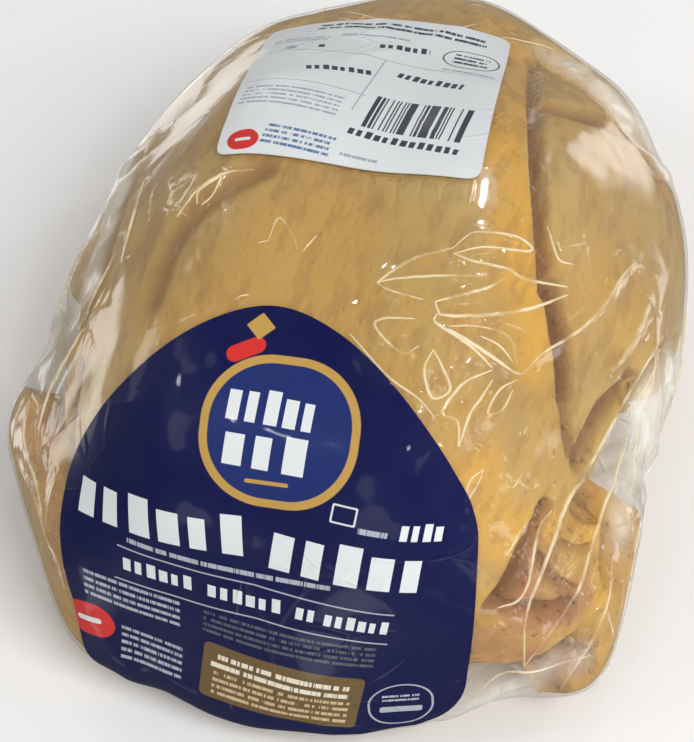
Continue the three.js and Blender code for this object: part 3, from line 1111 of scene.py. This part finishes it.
def raise_creases(film, creases, width):
    """Lifts the film into a tent along each crease."""
    samples = [(point, height * taper(i, len(points)))
               for height, points in creases for i, (point, _) in enumerate(points)]
    index = index_of([point for point, _ in samples])
    co, normal = points_of(film), normals_of(film)
    for k, point in enumerate(co):
        _, i, distance = index.find(point)
        if distance < width:
            lift = samples[i][1] * (1 - distance / width) ** 2 * MM
            co[k] += normal[k] * lift
    move_points(film, co)
    share = [smoothstep(14 * MM, 3 * MM, distance) * min(samples[i][1], 1.0)
             for _, i, distance in (index.find(point) for point in co)]
    paint(film, "busy", share)


def model_film(look):
    deselect_all()
    cuts = FILM_CUTS
    bpy.ops.mesh.primitive_cube_add(size=FILM_START, location=CORE)
    film = added("film")
    bpy.ops.object.mode_set(mode="EDIT")
    bpy.ops.mesh.select_all(action="SELECT")
    bpy.ops.mesh.subdivide(number_cuts=cuts)
    bpy.ops.object.mode_set(mode="OBJECT")
    apply_modifier(film, "CAST", cast_type="SPHERE", factor=1.0)
    apply_modifier(
        film, "SHRINKWRAP", target=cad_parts["bag"], wrap_method="PROJECT",
        use_negative_direction=True, use_positive_direction=False,
    )
    apply_place(film)
    apply_modifier(film, "SMOOTH", factor=0.5, iterations=FILM_SMOOTHING)
    creases = seen_creases(tree_of(film)) + unseen_creases(Surface(film), look.seed)
    raise_creases(film, creases, look.crease_width)
    smooth_shade(film)
    return film, creases


def slacken(film, bird):
    """Loose film hangs in folds towards the table, and clinging film has small dents."""
    co, normal = points_of(film), normals_of(film)
    skin = tree_of(bird)
    deepest = 30 * MM
    gap = np.array([
        skin.ray_cast(Vector(point), -Vector(up), deepest)[3] or deepest
        for point, up in zip(co, normal)
    ])
    loose = evened(film, smoothstep(*HANGS_LOOSE, gap), rounds=12)
    turn = np.arctan2(co[:, 1] - CORE.y, co[:, 0] - CORE.x)
    drum = np.stack([np.cos(turn) * 70 * MM, np.sin(turn) * 70 * MM, co[:, 2]], axis=1)
    folds = noise_at(drum, [95, 95, 22])
    dents = noise_at(co, 75)
    sharp = 1 - np.abs(folds) * 3.2
    height = loose * np.clip(sharp, -0.6, 1.0) * 1.1 + dents * 0.3
    above = smoothstep(0.0, 4 * MM, co[:, 2])
    co += normal * (height * MM * above)[:, None]
    co[:, 2] = np.maximum(co[:, 2], 0.0)
    move_points(film, co)
    paint(film, "loose", loose)


def model_crests(film, creases, radius):
    """The bright folds along the creases, as thin tapered tubes half sunk in the film."""
    tree = tree_of(film)
    data = bpy.data.curves.new("film_folds", "CURVE")
    data.dimensions = "3D"
    data.bevel_depth = 1.0
    data.bevel_resolution = 1
    data.use_fill_caps = True
    for height, points in creases:
        spline = data.splines.new("POLY")
        spline.points.add(len(points) - 1)
        for i, (point, normal) in enumerate(points):
            share = taper(i, len(points))
            crest = tree.find_nearest(point + normal * height * share * MM)[0]
            spline.points[i].co = (*crest, 1.0)
            spline.points[i].radius = radius * (0.25 + 0.75 * share) * height
    crests = bpy.data.objects.new("film_folds", data)
    bpy.context.scene.collection.objects.link(crests)
    take(crests)
    bpy.ops.object.convert(target="MESH")
    crests = added("film_folds")
    smooth_shade(crests)
    return crests


# The labels


def outline_points(right, count):
    """Evenly spaced points round an outline, from the lines and curves of its right half.

    Each line or curve is given by its 2, 3 or 4 control points.
    """
    left = [tuple((-x, y) for x, y in reversed(segment)) for segment in reversed(right)]
    dense = []
    for controls in right + left:
        controls = [Vector(point) for point in controls]
        for i in range(40):
            layer, t = controls, i / 40
            while len(layer) > 1:
                layer = [a.lerp(b, t) for a, b in zip(layer, layer[1:])]
            dense.append(layer[0])
    dense.append(dense[0])
    lengths = np.concatenate([[0], np.cumsum([(b - a).length for a, b in zip(dense, dense[1:])])])
    wanted = np.linspace(0, lengths[-1], count, endpoint=False)
    xs = np.interp(wanted, lengths, [point.x for point in dense])
    ys = np.interp(wanted, lengths, [point.y for point in dense])
    return [Vector((x, y)) for x, y in zip(xs, ys)]


def arch_outline(count, width=106, foot=98, height=122, corner=20, straight=68, fullness=0.36):
    x, foot_x, top, bottom = width / 2, foot / 2, height / 2, -height / 2
    shoulder = bottom + straight
    rise = (top - shoulder) * fullness
    right = [
        ((0, bottom), (foot_x - corner, bottom)),
        ((foot_x - corner, bottom), (foot_x, bottom), (foot_x, bottom + corner)),
        ((foot_x, bottom + corner), (x, shoulder)),
        ((x, shoulder), (x, shoulder + rise), (x * fullness, top), (0, top)),
    ]
    return outline_points(right, count)


def card_outline(count, width=64, height=78, corner=3):
    x, y = width / 2, height / 2
    right = [
        ((0, -y), (x - corner, -y)),
        ((x - corner, -y), (x, -y), (x, -y + corner)),
        ((x, -y + corner), (x, y - corner)),
        ((x, y - corner), (x, y), (x - corner, y)),
        ((x - corner, y), (0, y)),
    ]
    return outline_points(right, count)


def model_label(name, film, outline, towards, turn, rings, look):
    """A thin sheet laid on the film, each spoke of its outline kept at its length."""
    surface = Surface(film)
    middle = ((Vector(towards) + ORIGIN) * MM - CORE).normalized()
    normal = surface.normal(middle)
    right = Vector((0.0, 1.0, 0.0)).cross(normal).normalized()
    right = Matrix.Rotation(math.radians(turn), 3, normal) @ right
    up = normal.cross(right)
    spokes = len(outline)
    deselect_all()
    bpy.ops.mesh.primitive_circle_add(vertices=spokes, radius=0.05, fill_type="NOTHING")
    label = added(name)
    points, flat = [surface.point(middle, look.lift)], [Vector((0.0, 0.0))]
    for rim in outline:
        heading = (right * rim.x + up * rim.y).normalized()
        for ring, step in enumerate(surface.walk(middle, heading, rim.length * MM, rings)):
            points.append(surface.point(step, look.lift))
            flat.append(rim * (ring + 1) / rings)
    faces = []
    for spoke in range(spokes):
        here, there = 1 + spoke * rings, 1 + (spoke + 1) % spokes * rings
        faces.append((0, here, there))
        for ring in range(rings - 1):
            faces.append((here + ring, here + ring + 1, there + ring + 1, there + ring))
    label.data.clear_geometry()
    label.data.from_pydata(points, [], faces)
    uv = label.data.uv_layers.new(name="print")
    for loop in label.data.loops:
        place = flat[loop.vertex_index] / LABEL_SPAN + Vector((0.5, 0.5))
        uv.data[loop.index].uv = place
    apply_modifier(label, "SMOOTH", factor=0.5, iterations=6)
    keep_off(label, surface, look.lift)
    apply_modifier(label, "SOLIDIFY", thickness=look.thickness, offset=1.0)
    smooth_shade(label)
    bpy.ops.object.shade_smooth_by_angle(angle=math.radians(50))
    return label


def keep_off(label, surface, lift):
    """Pushes a label out to where it clears the film."""
    co = points_of(label)
    for i, point in enumerate(co):
        direction = (Vector(point) - CORE).normalized()
        least = surface.point(direction, lift)
        if (Vector(point) - CORE).length < (least - CORE).length:
            co[i] = least
    move_points(label, co)


def show(piece, material, slot, *nodes):
    """Gives a finished piece its material and its body, and hides the solids that it stands for.
    """
    piece.data.materials.clear()
    piece.data.materials.append(material)
    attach(piece, "root")
    if nodes:
        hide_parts(*nodes)


# Stage


def lamp(name, place, size, power, mirrored=True):
    data = bpy.data.lights.new(name, "AREA")
    data.shape = "DISK"
    data.size = size
    data.energy = power
    item = bpy.data.objects.new(name, data)
    bpy.context.scene.collection.objects.link(item)
    item.visible_glossy = mirrored
    item.location = place
    item.rotation_euler = (Vector(place) - VIEW_TARGET).to_track_quat("Z", "Y").to_euler()


def build_world(look):
    """Even light all round, in which glossy things mirror a darker room with a few windows."""
    world = bpy.data.worlds.new("Surroundings")
    world.use_nodes = True
    world.cycles.sampling_method = "NONE"
    world.node_tree.nodes.clear()
    wiring = Wiring(world.node_tree)
    direction = wiring.node("ShaderNodeTexCoord").outputs["Generated"]
    windows = wiring.ramp(wiring.noise(direction, 2.9, 1.5), 0.6, 0.66)
    mirrored = wiring.math("MULTIPLY_ADD", windows, look.windows, look.room)
    glossy = wiring.node("ShaderNodeLightPath").outputs["Is Glossy Ray"]
    strength = wiring.node(
        "ShaderNodeMix", {0: glossy, 2: look.sky, 3: mirrored}, data_type="FLOAT",
    ).outputs[0]
    sky = wiring.node("ShaderNodeBackground", {"Strength": strength}).outputs[0]
    wiring.node("ShaderNodeOutputWorld", {"Surface": sky})
    return world


def build_stage(look):
    scene = bpy.context.scene
    scene.view_settings.view_transform = "Standard"
    deselect_all()
    bpy.ops.mesh.primitive_plane_add(size=6.0, location=(0.0, 0.0, -0.4 * MM))
    floor = added("floor")
    apply_place(floor)
    material, wiring = new_material("Pale floor")
    cloud = wiring.noise(wiring.object_place(), 3.0, 2.0)
    colour = wiring.blend(cloud, look.floor, [part * 0.97 for part in look.floor])
    paper = wiring.node("ShaderNodeBsdfPrincipled", {"Base Color": colour, "Roughness": 0.8})
    finish_material(wiring, paper.outputs[0])
    floor.data.materials.append(material)
    floor.visible_glossy = False

    scene.world = build_world(look)

    lamp("Key", (0.65, -0.5, 1.1), 0.7, look.key, mirrored=False)
    lamp("Fill right", (0.95, -0.45, 0.4), 0.5, look.key * 0.3, mirrored=False)
    lamp("Fill left", (-0.95, -0.2, 0.55), 0.6, look.key * 0.12, mirrored=False)
    for number, (around, height) in enumerate(SPARKS, start=1):
        turn = math.radians(around)
        place = (SPARK_RING * math.sin(turn), -SPARK_RING * math.cos(turn), height)
        lamp(f"Spark {number}", place, 0.07, look.spark)

    data = bpy.data.cameras.new("Camera")
    data.sensor_width = SENSOR
    data.lens = FOCAL_PX * SENSOR / PHOTO_HEIGHT
    data.shift_x = -OFF_CENTRE_PX[0] / PHOTO_HEIGHT
    data.shift_y = OFF_CENTRE_PX[1] / PHOTO_HEIGHT
    camera = bpy.data.objects.new("Camera", data)
    scene.collection.objects.link(camera)
    right, up, back = view_axes()
    turn = Matrix((right, up, back)).transposed().to_4x4()
    camera.matrix_world = Matrix.Translation(VIEW_TARGET + back * VIEW_DISTANCE) @ turn
    scene.camera = camera


# Operators


class POULTRY_OT_stage(bpy.types.Operator):
    """Adds the floor, the lights and the photo's camera"""

    bl_idname = "poultry.stage"
    bl_label = "Stage"

    def execute(self, context):
        build_stage(context.scene.stage_settings)
        return {"FINISHED"}


class POULTRY_OT_bird(bpy.types.Operator):
    """Models the bird from its forms"""

    bl_idname = "poultry.bird"
    bl_label = "Bird"

    def execute(self, context):
        look = context.scene.bird_settings
        bird = model_bird(look)
        show(bird, skin_material(look), "skin", "bag")
        return {"FINISHED"}


class POULTRY_OT_film(bpy.types.Operator):
    """Models the clear film with its creases, and tucks the bird into it"""

    bl_idname = "poultry.film"
    bl_label = "Film"

    def execute(self, context):
        look = context.scene.film_settings
        bird = bpy.data.objects["bird"]
        film, creases = model_film(look)
        tuck_in(bird, film, context.scene.bird_settings.clearance)
        carve(bird, EMPTY_POCKETS, floor=0.6)
        paint_bird(bird, carve(bird, SKIN_GROOVES))
        slacken(film, bird)
        crests = model_crests(film, creases, look.crest)
        show(film, film_material(look), "film", "bag")
        show(crests, crest_material(look), "film")
        for piece in (film, crests):
            piece.visible_shadow = piece.visible_diffuse = False
        return {"FINISHED"}


class POULTRY_OT_front_label(bpy.types.Operator):
    """Lays the arched label on the front of the film"""

    bl_idname = "poultry.front_label"
    bl_label = "Front Label"

    def execute(self, context):
        look = context.scene.label_settings
        label = model_label(
            "arched_label", bpy.data.objects["film"], arch_outline(240),
            towards=(-5, -85, 69), turn=-1, rings=44, look=look,
        )
        material = label_material("Glossy blue label", front_print, roughness=0.35, coat=0.2)
        show(label, material, "printed_label", "front_label")
        return {"FINISHED"}


class POULTRY_OT_weight_label(bpy.types.Operator):
    """Lays the white label over the tail end of the breast"""

    bl_idname = "poultry.weight_label"
    bl_label = "Weight Label"

    def execute(self, context):
        look = context.scene.label_settings
        label = model_label(
            "white_label", bpy.data.objects["film"], card_outline(200),
            towards=(-8, 37, 98.5), turn=3, rings=30, look=look,
        )
        material = label_material("White paper label", card_print, roughness=0.4, coat=0.15)
        show(label, material, "paper_label", "weight_label")
        return {"FINISHED"}


OPERATORS = (
    POULTRY_OT_stage,
    POULTRY_OT_bird,
    POULTRY_OT_film,
    POULTRY_OT_front_label,
    POULTRY_OT_weight_label,
)


class POULTRY_PT_panel(bpy.types.Panel):
    """Lists the steps that build the bagged chicken"""

    bl_idname = "POULTRY_PT_panel"
    bl_label = "Bagged Raw Chicken"
    bl_space_type = "VIEW_3D"
    bl_region_type = "UI"
    bl_category = "Poultry"

    def draw(self, context):
        for step in OPERATORS:
            self.layout.operator(step.bl_idname)


SETTINGS = {
    "bird_settings": BirdSettings,
    "film_settings": FilmSettings,
    "label_settings": LabelSettings,
    "stage_settings": StageSettings,
}
CLASSES = (*SETTINGS.values(), *OPERATORS, POULTRY_PT_panel)


def register():
    for kind in CLASSES:
        bpy.utils.register_class(kind)
    for name, kind in SETTINGS.items():
        setattr(bpy.types.Scene, name, PointerProperty(type=kind))


def unregister():
    for name in SETTINGS:
        delattr(bpy.types.Scene, name)
    for kind in reversed(CLASSES):
        bpy.utils.unregister_class(kind)


def main():
    register()
    bpy.ops.poultry.stage()
    bpy.ops.poultry.bird()
    bpy.ops.poultry.film()
    bpy.ops.poultry.front_label()
    bpy.ops.poultry.weight_label()


if __name__ == "__main__":
    main()
